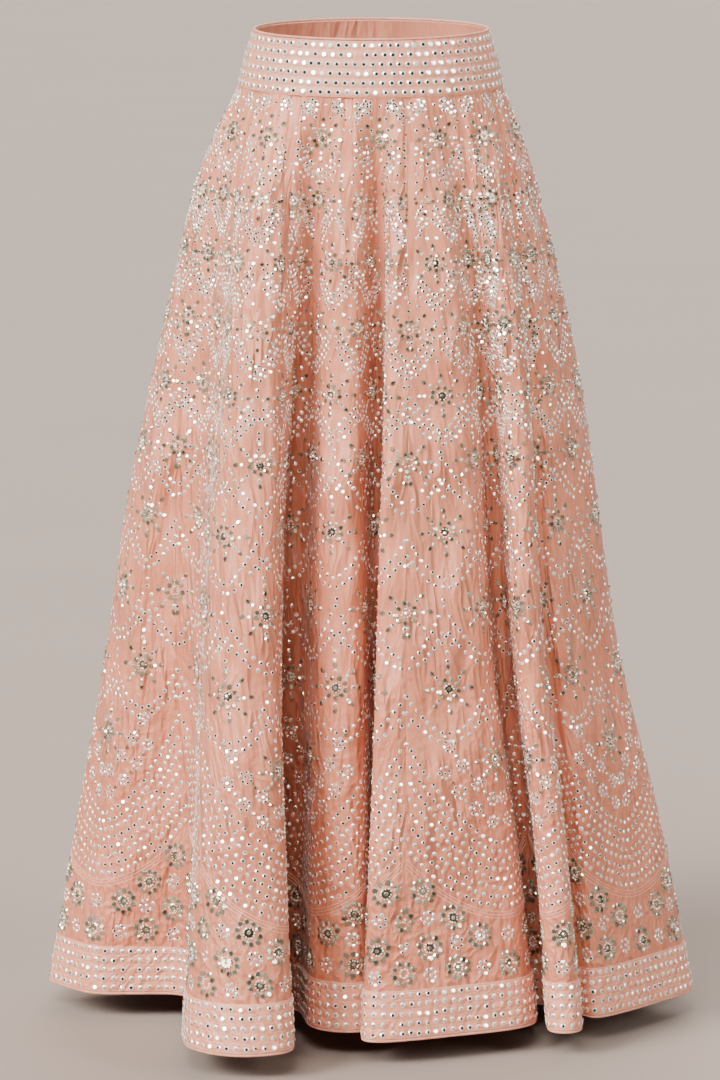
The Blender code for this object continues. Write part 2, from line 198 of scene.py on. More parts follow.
# The mirror work, charted for one kali laid flat and the same on all. A row of the net holds starbursts at
# first and then every 1 / cells kali, and a scalloped double row of mirrors hangs under each, or a treble one
# under those smaller than CLOSE_SIZE. point is 1 for straight sides that meet in a point and more for a round
# bottom.
NetRow = namedtuple("NetRow", "drop cells first size point")
NET = (
    NetRow(-0.020, 1, 0.00, 0.80, 1.1),
    NetRow(0.044, 1, 0.50, 0.88, 1.1),
    NetRow(0.108, 2, 0.00, 0.74, 1.1),
    NetRow(0.172, 2, 0.25, 0.80, 1.1),
    NetRow(0.240, 2, 0.00, 0.84, 1.25),
    NetRow(0.310, 2, 0.25, 0.88, 1.4),
    NetRow(0.378, 2, 0.00, 0.92, 1.55),
    NetRow(0.452, 2, 0.25, 0.95, 1.75),
    NetRow(0.532, 2, 0.00, 0.98, 1.9),
    NetRow(0.612, 2, 0.25, 1.00, 2.0),
)
CLOSE_SIZE = 0.9
TAILED_SIZE = 0.85
LAST_STARBURST_DROP = 0.688
SCALLOP_BOTTOM = 0.66
SCALLOP_HEIGHT = 0.60
SCALLOP_STEPS = 80

# Mirrors in the bare cloth near the band: where they begin and end, their width against the others', and how
# clear of others they lie, in pitches: at the top, and how much more at the bottom.
FILL_TOP, FILL_BOTTOM = 0.009, 0.34
FILL_CLEAR = (0.46, 0.30)
FILL_WIDTH = 0.84

# Mirrors over a peak between two scallops, and under it in a triangle and a short line, in pitches from it.
TAIL = ((0, 2.5), (-0.6, 3.4), (0.6, 3.4), (0, 4.6), (0, 5.6))
CAP = (1.0, 1.9)
SEAM_MARGIN = 0.0003
END_MARGIN = 0.003

# The fan: rows of mirrors under one another that hang from seam to seam, and stitched lines below them.
FAN_MIDDLE_DROP = 0.774
FAN_RISE = 0.112
FAN_POINT = 1.6
FAN_ROWS = 8
FAN_REACH = 1.12
FAN_STEPS = 240
FAN_LINES = (0.0065, 0.0095, 0.0130)
CHAINS = ((-0.018, 0.0, 0.62), (-0.038, 0.5, 0.60))
CHAIN_PITCH = 0.012

# Flowers between the fan and the border: distance to either side of the kali's middle, height over the hem.
FLOWERS = {
    "rosette": (
        (0.0, 0.066), (0.034, 0.098), (0.062, 0.119), (0.092, 0.148),
        (0.06, 0.067), (0.09, 0.09), (0.1205, 0.066), (0.1185, 0.12),
    ),
    "posy": (
        (0.0, 0.096), (0.031, 0.065), (0.06, 0.093), (0.09, 0.062),
        (0.089, 0.12), (0.12, 0.093), (0.1165, 0.162),
    ),
}
BAND_POSY_DROP = 0.011

# Shapes sewn on: sides, width over length, height, the share of the width that the flat table takes, how far
# one end draws in, how pearly the table and the sloping rim round it are, and how few of them are dull.
Trim = namedtuple("Trim", "slot sides narrow height table tip pearly rim sameness")
TRIMS = {
    "mirror": Trim("mirror", 8, 1.0, 0.0006, 0.54, 0.0, 0.0, 1.0, 2.0),
    "drop": Trim("stone", 7, 0.76, 0.0012, 0.60, 0.26, 0.0, 0.25, 0.9),
    "petal": Trim("stone", 8, 0.90, 0.0012, 0.60, 0.14, 0.0, 0.22, 1.2),
    "stone": Trim("stone", 8, 1.0, 0.0016, 0.55, 0.0, 0.0, 0.3, 3.0),
    # The flat disc under a bead ring is painted shade: mostly dull and dark, for the shade between the beads.
    "painted_shade_disc": Trim("stone", 9, 1.0, 0.0003, 0.84, 0.0, 0.0, 0.0, 0.10),
    "bead": Trim("stone", 5, 1.0, 0.0014, 0.50, 0.0, 1.0, 1.0, 2.0),
}

# How deep they are sunk, the width over which they lean less, the share that is lost and how far each strays.
ROOT_DEPTH = 0.0003
STEADY_WIDTH = 0.0055
MISSING_SHARE = 0.008
CHART_UNEVENNESS = 0.00035

# Straight rows of mirrors on the band and the border: how many, their spacing, how far every other row of
# the band is shifted on and all of them back, how unevenly they lie, and where their random draws start.
BAND_MIRROR_ROWS = 6
HEM_MIRROR_ROWS = 5
ROW_PITCH = 0.0096
BAND_SHIFTS = (0.35, 0.17)
BAND_UNEVENNESS = 0.008
BAND_TILT_SHARE = 0.6
HEM_UNEVENNESS = (0.0018, 0.0003)
BAND_SEED = 100
HEM_SEED = 200

# Stitching: width and height of the thread, how far it wavers, and the drops of the border's edge lines.
BAND_THREAD = (0.0008, 0.0003)
BAND_WAVER = 0.0003
HEM_THREAD = (0.0012, 0.0007)
HEM_WAVER, HEM_WAVER_LENGTH = 0.0009, 0.0382
HEM_EDGE_LINES = (BORDER_TOP + 0.0009, BORDER_TOP + 0.0028, SKIRT_DROP - 0.0012)
FAN_THREAD = (0.0010, 0.0006)
FAN_STITCH = 0.004

# The dullest mirrors and stones.
DULL_MIRROR = (0.80, 0.79, 0.74)
DULL_STONE = (0.15, 0.13, 0.08)

# Noise in the silk: how often it repeats to a metre across the cut and down it, and its detail.
PATTERNS = {
    "clouds": (9, 5, 3.0),
    "slubs": (45, 1500, 2.0),
    "streaks": (420, 12, 2.0),
    "threads": (2600, 2600, 1.0),
    "wander": (14, 10, 2.0),
    "fine": (95, 19, 1.0),
    "broad": (52, 12, 1.0),
    "patches": (11, 7, 1.0),
    "crinkle": (75, 62, 1.5),
}

# The soft boxes: azimuth from the front and elevation, and the cosines of the angles from a box's middle
# where it begins to fade and where it ends.
SoftBox = namedtuple("SoftBox", "setting azimuth elevation inner outer")
SOFT_BOXES = (
    SoftBox("left_box", -52, 34, 0.972, 0.955),
    SoftBox("right_box", 58, 26, 0.984, 0.970),
    SoftBox("top_box", -8, 46, 0.984, 0.970),
    SoftBox("back_box", 168, 42, 0.945, 0.910),
)

# The key lamp with its spread and turn in degrees, the studio, and the camera, which looks down a little.
KEY_COLOUR = (1.0, 0.970, 0.940)
KEY_SPREAD = 16
KEY_TURN = (58, 0, -46)
STUDIO_COLOUR = (1.0, 0.950, 0.902, 1.0)
FLOOR_SIZE = 300
CAMERA_PLACE = (0, -5.5, 0.24)
CAMERA_PITCH = 90 - 8.071
CAMERA_LENS = 173.9
CAMERA_SENSOR = 36
CAMERA_SHIFT = -0.0102


def tint(name, says, value):
    return FloatVectorProperty(name=name, description=says, subtype="COLOR", default=value)


def metres(name, says, value):
    return FloatProperty(name=name, description=says, unit="LENGTH", default=value)


def amount(name, says, value):
    return FloatProperty(name=name, description=says, default=value)


class SilkSettings(PropertyGroup):
    silk: tint("Silk", "Colour of the kalis", (0.670, 0.236, 0.132))
    # The deep silk colour serves random dye clouds, and painted shade down the skirt.
    silk_dye_and_shade: tint("Deep silk", "Colour where the dye took more", (0.47, 0.140, 0.074))
    # Painted shade: the colour that the silk is darkened to where it lies deep in a valley or a crease.
    valley: tint("Valleys", "Colour deep in the folds", (0.27, 0.062, 0.030))
    band: tint("Band", "Colour of the band and border", (0.69, 0.280, 0.176))
    piping: tint("Piping", "Colour of the rolled edges", (0.70, 0.310, 0.215))
    thread: tint("Thread", "Colour of the stitched lines", (0.84, 0.47, 0.36))
    pucker_depth: metres("Puckers", "Depth of the fine puckers", 0.0170)
    slub_depth: metres("Slubs", "Depth of the thick weft threads", 0.00007)


class TrimSettings(PropertyGroup):
    mirror: metres("Mirror", "Width of a mirror", 0.0055)
    band_mirror: metres("Band mirror", "Width on the band", 0.0067)
    hem_mirror: metres("Hem mirror", "Width on the border", 0.0062)
    pitch: metres("Pitch", "Mirrors' spacing in a row", 0.0083)
    row_gap: metres("Row gap", "Spacing of the fan's rows", 0.0092)
    tilt: FloatProperty(name="Tilt", description="How unevenly they lie", subtype="ANGLE", default=0.19)
    seed: IntProperty(name="Seed", description="Start of the random unevenness", default=7)
    foil: tint("Foil", "Colour of the mirrors", (0.93, 0.925, 0.90))
    stone: tint("Stone", "Colour of the drops", (0.66, 0.61, 0.46))
    rim: tint("Rim", "Colour of the rims and beads", (0.95, 0.92, 0.85))


class StudioSettings(PropertyGroup):
    floor: tint("Floor", "Colour of the floor", (0.275, 0.229, 0.197))
    floor_gap: metres("Floor gap", "Height of the hem over it", 0.030)
    key: amount("Key light", "Strength of the key light", 2.0)
    left_box: amount("Left box", "Brightness of the soft box on the left", 22.5)
    right_box: amount("Right box", "Brightness of the soft box on the right", 12.0)
    top_box: amount("Top box", "Brightness of the soft box over the camera", 21.0)
    back_box: amount("Back box", "Brightness of the soft box behind", 5.5)
    backdrop: amount("Backdrop", "Brightness behind the skirt", 0.45)
    ambient: amount("Ambient", "Brightness of the dark studio", 0.05)


def unit(ways):
    """Directions with a length of 1."""
    return ways / np.linalg.norm(ways, axis=-1, keepdims=True)


def run_along(points):
    """How far along a line each of its points is."""
    return np.concatenate(([0.0], np.cumsum(np.hypot(*np.diff(points, axis=0).T))))


def closed_spline(points, steps):
    """A smooth closed curve through the points, with steps places on each span."""
    curve = []
    for i, p1 in enumerate(points):
        p0, p2, p3 = points[i - 1], points[(i + 1) % len(points)], points[(i + 2) % len(points)]
        t1 = np.linalg.norm(p1 - p0) ** 0.5
        t2 = t1 + np.linalg.norm(p2 - p1) ** 0.5
        t3 = t2 + np.linalg.norm(p3 - p2) ** 0.5
        for t in np.linspace(t1, t2, steps, endpoint=False):
            a1 = p0 + (p1 - p0) * t / t1
            a2 = p1 + (p2 - p1) * (t - t1) / (t2 - t1)
            a3 = p2 + (p3 - p2) * (t - t2) / (t3 - t2)
            b1 = a1 + (a2 - a1) * t / t2
            b2 = a2 + (a3 - a2) * (t - t1) / (t3 - t1)
            curve.append(b1 + (b2 - b1) * (t - t1) / (t2 - t1))
    return np.array(curve)


def right_of(way):
    """The unit plan direction to the right of a way."""
    return np.array((way[1], -way[0])) / np.linalg.norm(way)


def fold_points():
    """Five plan points for each fold, with its grow: shoulder, crown, shoulder and the valley's two sides."""
    rows = []
    for fold, following in zip(FOLDS, FOLDS[1:] + FOLDS[:1]):
        corners = fold[:2], fold[2:4], following[:2], (fold.valley_x, fold.valley_y)
        first, second, third, valley = map(np.array, corners)
        crown = (first + second) / 2 + right_of(second - first) * fold.crown
        across = right_of((second + third) / 2 - valley) * fold.width / -2
        for point in (first, crown, second, valley - across, valley + across):
            rows.append((*point, fold.grow))
    return np.array(rows)


def evenly_spaced(curve):
    """ROUTE_STEPS rows at equal distances round a closed plan curve, from the front seam, and its length."""
    closed = np.vstack((curve, curve[:1]))
    run = run_along(closed[:, :2])
    start = run[np.hypot(curve[:, 0] - FRONT_SEAM_X, curve[:, 1] - FRONT_SEAM_Y).argmin()]
    places = (start + run[-1] * np.arange(ROUTE_STEPS) / ROUTE_STEPS) % run[-1]
    return np.stack([np.interp(places, run, column) for column in closed.T], axis=1), run[-1]


def oval(angle, section):
    """Plan points at angles from the front, on a curve of four quarter ellipses."""
    right, left, front, back = section
    x = np.where(np.sin(angle) > 0, left, right) * np.sin(angle)
    y = -np.where(np.cos(angle) > 0, front, back) * np.cos(angle)
    return np.stack((x, y), axis=-1)


def smoothed(values, spread):
    """Values round the skirt, softened over about spread kalis."""
    waves = np.fft.rfftfreq(ROUTE_STEPS, 1 / ROUTE_STEPS)
    softening = np.exp(-2 * (pi * waves * spread / KALI_COUNT) ** 2)
    return np.fft.irfft(np.fft.rfft(values) * softening, ROUTE_STEPS)


def between_rows(table, column, drop):
    """A column of the section table at any drop, on a smooth curve that never overshoots its rows."""
    at, value = table[:, 0], table[:, column]
    step = np.diff(at)
    slope = np.diff(value) / step
    lean = np.zeros(len(at))
    lean[0], lean[-1] = slope[0], slope[-1]
    lean[1:-1] = 2 * slope[:-1] * slope[1:] / (slope[:-1] + slope[1:])
    row = np.clip(np.searchsorted(at, drop, side="right") - 1, 0, len(at) - 2)
    t = (drop - at[row]) / step[row]
    start = (1 + 2 * t) * value[row] + t * step[row] * lean[row]
    end = (3 - 2 * t) * value[row + 1] - (1 - t) * step[row] * lean[row + 1]
    return (1 - t) ** 2 * start + t ** 2 * end


def facing(angle, section):
    """Unit plan directions out of an oval and round it."""
    right, left, front, back = section
    x = np.sin(angle) * np.where(np.cos(angle) > 0, front, back)
    y = -np.cos(angle) * np.where(np.sin(angle) > 0, left, right)
    out = unit(np.stack((x, y), axis=-1))
    return out, np.stack((-out[..., 1], out[..., 0]), axis=-1)


def worn(plan, drop, slope):
    """Plan points at their heights, on the waist's slope."""
    return np.concatenate((plan, (-BAND_HEIGHT - drop + slope * plan[..., 1])[..., None]), axis=-1)


class Skirt:
    """The kalis' inner face and the band's, as points at any place and drop."""

    def __init__(self):
        self.table = np.array(SECTIONS)
        self.mean = np.column_stack((self.table[:, 0], self.table[:, 1:3].mean(axis=1)))
        self.turn = 2 * pi * np.arange(ROUTE_STEPS) / ROUTE_STEPS
        hem, self.hem_length = evenly_spaced(closed_spline(fold_points(), SPLINE_STEPS))
        self.hem = np.stack([smoothed(hem[:, axis], ROUNDING) for axis in (0, 1)], axis=1)
        self.grow = smoothed(hem[:, 2], GROW_SPREAD)
        self.drift = self.drift_to_the_waist()
        self.waist_angle = self.angles_at_the_waist()
        self.hem_angle = self.mean_angles_at_the_hem()
        out, along = facing(self.hem_angle, self.table[-1, 1:])
        offset = self.hem - oval(self.hem_angle, self.table[-1, 1:])
        self.fold = np.stack(((offset * out).sum(axis=1), (offset * along).sum(axis=1)), axis=1)

    def drift_to_the_waist(self):
        """How far along the cloth each fold moves between the band and the hem, by its place at the band."""
        starts = np.array([fold.start for fold in FOLDS])
        valleys = np.array([(fold.valley_x, fold.valley_y) for fold in FOLDS])
        nearest = np.linalg.norm(self.hem[:, None] - valleys, axis=2).argmin(axis=0)
        moved = nearest * KALI_COUNT / ROUTE_STEPS - starts
        moved -= KALI_COUNT * np.round(moved / KALI_COUNT)
        steps = np.arange(ROUTE_STEPS) * KALI_COUNT / ROUTE_STEPS
        return smoothed(np.interp(steps, starts, moved, period=KALI_COUNT), DRIFT_SPREAD)

    def angles_at_the_waist(self):
        """The angle of each step round the band, so that every kali has the same width there."""
        angle = np.linspace(0, 2 * pi, ROUTE_STEPS + 1)
        ring = oval(angle, SECTIONS[0][1:])
        run = run_along(ring)
        self.waist_length = run[-1]
        places = np.interp(FRONT_SEAM_ANGLE, angle, run) + run[-1] * np.arange(ROUTE_STEPS) / ROUTE_STEPS
        turns = np.floor(places / run[-1])
        return np.interp(places - turns * run[-1], run, angle) + 2 * pi * turns

    def mean_angles_at_the_hem(self):
        """The angle that each step's fold has on the whole, which its valley and lobe lie either side of."""
        right, left, front, back = self.table[-1, 1:]
        x, y = self.hem.T
        angle = np.unwrap(np.arctan2(x / np.where(x > 0, left, right), -y / np.where(y < 0, front, back)))
        angle += 2 * pi * round((self.waist_angle[0] - angle[0]) / (2 * pi))
        return smoothed(angle - self.turn, MEAN_ANGLE_SPREAD) + self.turn

    def round_at(self, values, place):
        """Values stored for each step, read at a place in kalis."""
        step = (place / KALI_COUNT * ROUTE_STEPS) % ROUTE_STEPS
        low = np.floor(step).astype(int)
        part = (step - low).reshape(step.shape + (1,) * (values.ndim - 1))
        return values[low % ROUTE_STEPS] * (1 - part) + values[(low + 1) % ROUTE_STEPS] * part

    def angle_at(self, angles, place):
        """Angles stored for each step, read at a place in kalis, and growing with each turn."""
        return self.round_at(angles - self.turn, place) + 2 * pi * place / KALI_COUNT

    def spread(self, drop):
        """How far the skirt has opened, from 0 at the band to 1 at the hem."""
        low, high = self.mean[0, 1], self.mean[-1, 1]
        return (between_rows(self.mean, 1, drop) - low) / (high - low)

    def fold_at(self, place, open_share):
        """A place's fold as it is at the hem, out of the base outline and along it, and its grow."""
        at = place + self.round_at(self.drift, place) * (1 - open_share)
        return *np.moveaxis(self.round_at(self.fold, at), -1, 0), self.round_at(self.grow, at)

    def hollow(self, place, drop):
        """How much painted shade the cloth gets for lying deep in a valley, from 0 to 1."""
        open_share = self.spread(drop)
        outwards = self.fold_at(place, open_share)[0]
        low, high = FOLD_SHADE_DEPTHS
        return np.clip((-outwards - low) / (high - low), 0, 1) * np.clip(2 * open_share, 0, 1)

    def points(self, place, drop):
        """Points of the kalis' inner face, at places in kalis and drops below the band."""
        place, drop = np.broadcast_arrays(place, drop)
        open_share = self.spread(drop)
        waist, hem = self.angle_at(self.waist_angle, place), self.angle_at(self.hem_angle, place)
        angle = waist + (hem - waist) * open_share
        section = [between_rows(self.table, column, drop) for column in range(1, 5)]
        base, (out, along) = oval(angle, section), facing(angle, section)
        outwards, sideways, grow = self.fold_at(place, open_share)
        open_share = np.clip(open_share, 0, None)
        outwards = outwards * open_share ** grow
        sideways = sideways * open_share ** STEEPEN
        plan = base + out * outwards[..., None] + along * sideways[..., None]
        slope = WAIST_SLOPE * np.clip(1 - drop / SLOPE_REACH, 0, 1) ** SLOPE_FADE
        return worn(plan, drop, slope)

    def band_points(self, place, drop):
        """Points of the band's inner face. Its drop runs from -BAND_HEIGHT at the top edge to 0."""
        place, drop = np.broadcast_arrays(place, drop)
        down = ((drop + BAND_HEIGHT) / BAND_HEIGHT)[..., None]
        sizes = np.array(SECTIONS[0][1:]) * down + np.array(BAND_TOP[1:]) * (1 - down)
        sizes += BAND_BOW * np.sin(pi * down)
        plan = oval(self.angle_at(self.waist_angle, place), np.moveaxis(sizes, -1, 0))
        return worn(plan, drop, WAIST_SLOPE)


SKIRT = Skirt()
WAIST_CUT = SKIRT.waist_length / KALI_COUNT
HEM_CUT = SKIRT.hem_length / KALI_COUNT


def flat_width(drop):
    """A kali's cut width at a drop."""
    return WAIST_CUT + (HEM_CUT - WAIST_CUT) * np.clip(drop / SKIRT_DROP, 0, None)


def axes(surface, place, drop):
    """Unit directions round a surface, down it and out of it."""
    round_way = surface(place + SEAM_STEP, drop) - surface(place - SEAM_STEP, drop)
    down_way = surface(place, drop + DROP_STEP) - surface(place, drop - DROP_STEP)
    out = unit(np.cross(down_way, round_way))
    round_way = unit(round_way)
    return round_way, np.cross(round_way, out), out


def crease_relief(place, drop):
    """How far the creases push the cloth out or in."""
    relief = np.zeros(np.shape(place))
    for crease in CREASES:
        down = (drop - crease.top) / (crease.bottom - crease.top)
        away = place - crease.place - crease.drift * down
        away -= KALI_COUNT * np.round(away / KALI_COUNT)
        along = np.clip(4 * down * (1 - down), 0, 1)
        relief += crease.depth * along * np.exp(-((away * flat_width(drop) / crease.width) ** 2))
    return relief


class Face:
    """The outside of a cloth layer: a surface, the height of the cloth over it, and its relief."""

    def __init__(self, surface, height, relief):
        self.surface, self.height, self.relief = surface, height, relief

    def points(self, place, drop, lift=0.0):
        out = axes(self.surface, place, drop)[2]
        raised = self.height + self.relief(place, drop) + lift
        return self.surface(place, drop) + out * raised[..., None]


def panel_relief(place, drop):
    """Creases, and the dip where two kalis are sewn together."""
    from_seam = np.abs(place - np.round(place)) * flat_width(drop)
    return crease_relief(place, drop) - SEAM_DIP * np.exp(-((from_seam / SEAM_DIP_WIDTH) ** 2))


def border_relief(place, drop):
    """Creases that run on into the border, and its soft rows."""
    rows = np.cos(2 * pi * HEM_MIRROR_ROWS * (drop - BORDER_TOP) / HEM_BORDER_HEIGHT)
    return crease_relief(place, drop) - PUFF_DEPTH * rows


def band_relief(place, drop):
    """The band's soft rows, between its stitched lines."""
    return -PUFF_DEPTH * np.cos(2 * pi * BAND_MIRROR_ROWS * drop / BAND_HEIGHT) + 0 * place


PANEL = Face(SKIRT.points, KALI_CLOTH, panel_relief)
BORDER = Face(SKIRT.points, KALI_CLOTH + SEAM_GAP + BORDER_CLOTH, border_relief)
BAND = Face(SKIRT.band_points, BAND_CLOTH, band_relief)


def columns_between(first, last, count):
    """Places from one seam to another, count to a kali, closer together where the hem bends more tightly."""
    fine = np.linspace(first, last, ROUTE_STEPS)
    x, y, _ = SKIRT.points(fine, SKIRT_DROP).T
    heading = np.unwrap(np.arctan2(np.gradient(y), np.gradient(x)))
    bend = np.abs(np.gradient(heading, fine)) / (SKIRT.hem_length / KALI_COUNT)
    crowding = np.cumsum(1 + np.minimum(bend * BEND_RADIUS, MOST_CROWDING))
    crowding = (crowding - crowding[0]) / (crowding[-1] - crowding[0])
    return np.interp(np.linspace(0, 1, (last - first) * count + 1), crowding, fine)


def new_mesh(name, points, *faces):
    """A mesh from points and arrays of faces, each array with one number of corners."""
    mesh = bpy.data.meshes.new(name)
    corners = np.concatenate([array.ravel() for array in faces])
    sizes = np.concatenate([np.full(len(array), array.shape[1]) for array in faces])
    mesh.vertices.add(len(points))
    mesh.vertices.foreach_set("co", points.astype(np.float32).ravel())
    mesh.loops.add(len(corners))
    mesh.loops.foreach_set("vertex_index", corners.astype(np.int32))
    mesh.polygons.add(len(sizes))
    mesh.polygons.foreach_set("loop_start", np.concatenate(([0], np.cumsum(sizes)[:-1])).astype(np.int32))
    mesh.update(calc_edges=True)
    return mesh


def store(mesh, name, domain, values):
    """Keeps a value with each point or face of a mesh, for its look."""
    mesh.attributes.new(name, "FLOAT", domain).data.foreach_set("value", values.astype(np.float32))


def new_piece(mesh, look, nodes=()):
    """A mesh as a piece of the skirt, which rides with it and stands for any CAD nodes named."""
    mesh.materials.append(looks()[look])
    made = bpy.data.objects.new(mesh.name, mesh)
    bpy.context.scene.collection.objects.link(made)
    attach(made, "root")
    if nodes:
        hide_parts(*nodes)
    return made


def ring_of(index):
    """The points round a grid, from its top right corner to the left, down, back and up."""
    return np.concatenate((index[0, ::-1], index[1:, 0], index[-1, 1:], index[-2::-1, -1]))


def quads(index):
    """A grid's faces, which face out of the cloth."""
    a, b, d, e = index[:-1, :-1], index[:-1, 1:], index[1:, :-1], index[1:, 1:]
    return np.stack((a, d, e, b), axis=-1).reshape(-1, 4)


def rim_faces(outer, inner):
    """Triangles from an outer ring of points to an inner one, which has one for every INNER_STEP."""
    faces = []
    for j, (near, far) in enumerate(zip(inner, inner[1:])):
        run = outer[j * INNER_STEP:(j + 1) * INNER_STEP + 1]
        middle = INNER_STEP // 2
        faces += [(q, p, near) for p, q in zip(run[:middle], run[1:middle + 1])]
        faces.append((run[middle], near, far))
        faces += [(q, p, far) for p, q in zip(run[middle:], run[middle + 1:])]
    return np.array(faces)


def cloth_wall(node, face, lift, places, drops, look):
    """A CAD node's cloth: a fine outer face with its relief, and a plain inner face lift over the surface."""
    place, drop = np.meshgrid(places, drops)
    for end, inwards in ((0, 1), (-1, -1)):
        sides = [face.points(place[:, end] + step, drop[:, end]) for step in (-SEAM_STEP, SEAM_STEP)]
        per_kali = np.linalg.norm(sides[1] - sides[0], axis=-1) / (2 * SEAM_STEP)
        place[:, end] += inwards * SEAM_GAP / 2 / per_kali
    few = np.ix_(range(0, len(drops), INNER_STEP), range(0, len(places), INNER_STEP))
    inside = face.surface(place[few], drop[few])
    inside = inside + axes(face.surface, place[few], drop[few])[2] * lift
    outer = np.arange(place.size).reshape(place.shape)
    inner = outer.size + np.arange(place[few].size).reshape(place[few].shape)
    points = np.vstack((face.points(place, drop).reshape(-1, 3), inside.reshape(-1, 3)))
    rim = rim_faces(ring_of(outer), ring_of(inner))
    mesh = new_mesh(f"{node}_silk", points, quads(outer), quads(inner)[:, ::-1], rim)
    flat = np.stack(((place - places.mean()) * flat_width(drop), drop), axis=-1)
    flat = np.vstack((flat.reshape(-1, 2), flat[few].reshape(-1, 2)))
    corner = np.zeros(len(mesh.loops), np.int32)
    mesh.loops.foreach_get("vertex_index", corner)
    mesh.uv_layers.new(name="cloth").data.foreach_set("uv", flat[corner].astype(np.float32).ravel())
    # Painted shade, kept with each point: how deep the cloth lies in a valley or in a crease's trough.
    hollow = SKIRT.hollow(place, drop) + np.clip(-face.relief(place, drop) / CREASE_SHADE_FULL - 0.15, 0, 1)
    hollow = np.clip(np.concatenate((hollow.ravel(), SKIRT.hollow(place[few], drop[few]).ravel())), 0, 1)
    store(mesh, "hollow", "POINT", hollow)
    mesh.shade_smooth()
    mesh.set_sharp_from_angle(angle=radians(SHARP_ANGLE))
    return new_piece(mesh, look, [node])


def rolled_edge(node, surface, around, drop, out_by, up_by, thick, uneven, waves):
    """Piping along an edge: a closed-ended tube, thick times its radius and uneven in slow waves."""
    _, down, out = axes(surface, around, drop + 0 * around)
    edge = surface(around, drop) + out * out_by
    edge[:, 2] += up_by
    radii = PIPING_RADIUS * (thick + uneven * np.sin(around * waves[0]) * np.sin(around * waves[1]))
    turn = 2 * pi * np.arange(PIPING_SIDES) / PIPING_SIDES
    ring = out[:, None] * np.cos(turn)[:, None] + down[:, None] * np.sin(turn)[:, None]
    points = edge[:, None] + ring * radii[:, None, None]
    index = np.arange(len(edge) * PIPING_SIDES).reshape(-1, PIPING_SIDES)
    sides = np.roll(quads(np.concatenate((index, index[:, :1]), axis=1))[:, ::-1], 1, axis=1)
    mesh = new_mesh(f"{node}_silk", points.reshape(-1, 3), sides, index[:1, ::-1], index[-1:])
    mesh.shade_smooth()
    new_piece(mesh, "piping_silk", [node])


class Value:
    """A shader value. Arithmetic on it adds Math nodes."""

    def __init__(self, shader, socket):
        self.shader, self.socket = shader, socket

    def maths(self, operation, *others, clamp=False):
        settings = {"operation": operation, "use_clamp": clamp}
        return self.shader.add("Math", settings, dict(enumerate((self, *others))))

    def __add__(self, other):
        return self.maths("ADD", other)

    def __sub__(self, other):
        return self.maths("SUBTRACT", other)

    def __rsub__(self, other):
        return (self * -1) + other

    def __mul__(self, other):
        return self.maths("MULTIPLY", other)

    def __abs__(self):
        return self.maths("ABSOLUTE")

    def within(self, low, high):
        """0 at low, 1 at high, and held between."""
        return ((self - low) * (1 / (high - low))).maths("ADD", 0.0, clamp=True)


class Look:
    """A material's nodes. One method adds every kind."""

    def __init__(self, name, tree=None):
        if tree is None:
            self.material = bpy.data.materials.new(name)
            self.material.use_nodes = True
            tree = self.material.node_tree
        self.tree = tree
        self.shader = tree.nodes.get("Principled BSDF")

    def add(self, kind, settings=None, inputs=None, output=0):
        """A node with its settings, then its values or links. It gives one of its outputs as a value."""
        node = self.tree.nodes.new("ShaderNode" + kind)
        for setting, value in (settings or {}).items():
            setattr(node, setting, value)
        self.fill(node, inputs or {})
        return Value(self, node.outputs[output])

    def fill(self, node, inputs):
        for socket, value in inputs.items():
            if isinstance(value, Value):
                self.tree.links.new(value.socket, node.inputs[socket])
            else:
                node.inputs[socket].default_value = value

    def principled(self, **inputs):
        """Sets the Principled shader's sockets. An underscore in a name stands for a space."""
        self.fill(self.shader, {name.replace("_", " "): value for name, value in inputs.items()})
        return self.material

    def colours(self, factor, first, second):
        """A mix of two colours."""
        inputs = {0: factor}
        for socket, colour in ((6, first), (7, second)):
            inputs[socket] = colour if isinstance(colour, Value) else (*colour, 1.0)
        return self.add("Mix", {"data_type": "RGBA"}, inputs, 2)

    def noise(self, vector, scale, detail=2.0):
        return self.add("TexNoise", {}, {"Vector": vector, "Scale": scale, "Detail": detail})

    def vector(self, x, y):
        return self.add("CombineXYZ", {}, {0: x, 1: y})

    def bump(self, height):
        return self.add("Bump", {}, {"Height": height, "Distance": 1.0})

    def place(self, kind="Object"):
        return self.add("TexCoord", {}, {}, kind)

    def stored(self, name):
        """A value that the mesh keeps."""
        return self.add("Attribute", {"attribute_name": name}, {}, "Fac")


def ridged(noise):
    """A noise with a crest wherever it passes its middle."""
    return 1 - abs(noise * 2 - 1)


